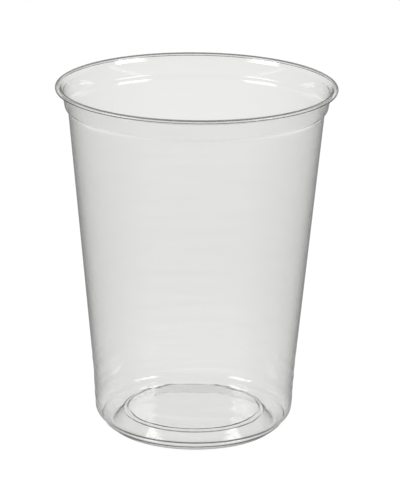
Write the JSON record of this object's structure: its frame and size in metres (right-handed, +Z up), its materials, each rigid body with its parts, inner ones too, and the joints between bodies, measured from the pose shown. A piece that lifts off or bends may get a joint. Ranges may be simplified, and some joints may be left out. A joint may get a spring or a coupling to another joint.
{
  "type": "deli container",
  "caption": "Clear round plastic food container with a tapered wall, rolled rim, neck band for a press-on lid and a raised base panel; it holds and stacks cold food and drink.",
  "frame": {"origin": "middle of the ring that the container stands on, on the table", "axes": "+Z up along the container's axis, towards its open mouth"},
  "size_m": [0.117, 0.117, 0.1474],
  "materials": {
    "clear_plastic": "crystal-clear glossy PET sheet, smooth on both faces"
  },
  "bodies": {
    "root": {"deli_container": "clear_plastic"}
  },
  "joints": []
}
